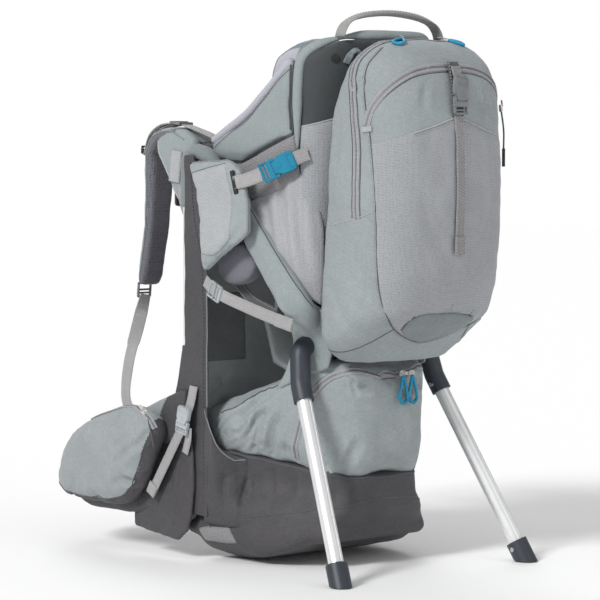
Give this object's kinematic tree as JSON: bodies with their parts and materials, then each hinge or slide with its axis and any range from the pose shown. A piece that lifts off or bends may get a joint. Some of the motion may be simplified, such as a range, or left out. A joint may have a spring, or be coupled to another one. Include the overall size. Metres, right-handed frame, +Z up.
{
  "type": "baby carrier backpack",
  "caption": "Child carrier backpack with a tube frame, fold-out stand, cockpit seat, hip belt, shoulder harness, storage base and a removable daypack.",
  "frame": {"origin": "on the floor, under the middle of the whole carrier", "axes": "+Z up, +X towards the wearer's right, +Y the way the wearer faces; the daypack is at -Y"},
  "size_m": [0.41, 0.69, 0.754],
  "materials": {
    "aluminium_tube": "satin, silver-white",
    "slate_plastic": "fine moulded grain",
    "black_sheet": "matt",
    "steel_screws": "bright",
    "main_fabric": "fine ripstop nylon, blue-green grey",
    "mesh_fabric": "stretch mesh, lavender grey",
    "charcoal_fabric": "coarse nylon, charcoal",
    "padding_fabric": "brushed lining over foam",
    "webbing": "ribbed polyester webbing",
    "buckle_grey": "smooth moulded",
    "buckle_blue": "smooth moulded",
    "buckle_dark": "smooth moulded"
  },
  "bodies": {
    "frame": {"frame_side_tube_left": "aluminium_tube", "frame_side_tube_right": "aluminium_tube", "frame_base_rail": "aluminium_tube", "frame_corner_sleeves": "aluminium_tube", "frame_rear_strut": "aluminium_tube", "frame_cross_bars": "aluminium_tube", "kickstand_hub_left": "slate_plastic", "kickstand_hub_right": "slate_plastic", "frame_sheet": "black_sheet", "back_panel_pad": "padding_fabric", "lumbar_pad": "padding_fabric", "side_bands": "charcoal_fabric", "hip_wing_left": "charcoal_fabric", "hip_wing_right": "charcoal_fabric", "hip_pocket_left": "main_fabric", "hip_pocket_right": "main_fabric", "hip_fins": "charcoal_fabric", "hip_fin_straps": "webbing", "waist_strap_left": "webbing", "waist_buckle_socket": "buckle_dark", "load_lifters": "webbing", "seat_sling": "padding_fabric", "seat_back_pad": "padding_fabric", "child_harness": "webbing", "child_buckle": "buckle_dark", "headrest_shell": "padding_fabric", "headrest_pad": "padding_fabric", "cockpit_wall_left": "main_fabric", "cockpit_wall_right": "main_fabric", "flap_pocket_left": "main_fabric", "flap_pocket_right": "main_fabric", "diagonal_sleeves": "main_fabric", "side_straps": "webbing", "side_buckles": "buckle_blue", "storage_bag": "main_fabric", "base_boot": "charcoal_fabric"},
    "kickstand": {"kickstand_axle": "aluminium_tube", "kickstand_elbow_left": "slate_plastic", "kickstand_elbow_right": "slate_plastic", "kickstand_leg_left": "aluminium_tube", "kickstand_leg_right": "aluminium_tube", "kickstand_foot_left": "slate_plastic", "kickstand_foot_right": "slate_plastic", "kickstand_screws": "steel_screws"},
    "daypack": {"daypack_body": "main_fabric", "daypack_front_pocket": "mesh_fabric", "daypack_strap": "webbing", "daypack_buckle": "buckle_grey"},
    "harness": {"harness_yoke": "padding_fabric", "shoulder_strap_left": "mesh_fabric", "shoulder_strap_right": "mesh_fabric", "shoulder_webbing": "webbing"},
    "sternum": {"sternum_strap": "webbing", "sternum_buckle": "buckle_dark"},
    "handle": {"top_handle": "webbing"},
    "waist_plug": {"waist_buckle_plug": "buckle_dark", "waist_strap_right": "webbing"},
    "zip_left": {"storage_zip_slider_left": "buckle_blue"},
    "zip_right": {"storage_zip_slider_right": "buckle_blue"}
  },
  "joints": [
    {"name": "kickstand_fold", "type": "hinge", "parent": "frame", "child": "kickstand", "pos_m": [0, -0.1535, 0.308], "axis": [1, 0, 0], "range_deg": [0, 38]},
    {"name": "daypack_release", "type": "slide", "parent": "frame", "child": "daypack", "axis": [0, -1, 0], "range_m": [0, 0.12]},
    {"name": "harness_height", "type": "slide", "parent": "frame", "child": "harness", "axis": [0, 0, -1], "range_m": [0, 0.09], "deforming": ["shoulder_webbing"]},
    {"name": "sternum_height", "type": "slide", "parent": "harness", "child": "sternum", "axis": [0, 0, -1], "range_m": [-0.02, 0.05]},
    {"name": "handle_swing", "type": "hinge", "parent": "frame", "child": "handle", "pos_m": [0, -0.2065, 0.735], "axis": [1, 0, 0], "range_deg": [-75, 30]},
    {"name": "waist_buckle_release", "type": "slide", "parent": "frame", "child": "waist_plug", "axis": [1, 0, 0], "range_m": [0, 0.03], "deforming": ["waist_strap_right"]},
    {"name": "zip_left_slide", "type": "slide", "parent": "frame", "child": "zip_left", "axis": [-1, 0, 0], "range_m": [0, 0.06]},
    {"name": "zip_right_slide", "type": "slide", "parent": "frame", "child": "zip_right", "axis": [1, 0, 0], "range_m": [0, 0.03]}
  ]
}
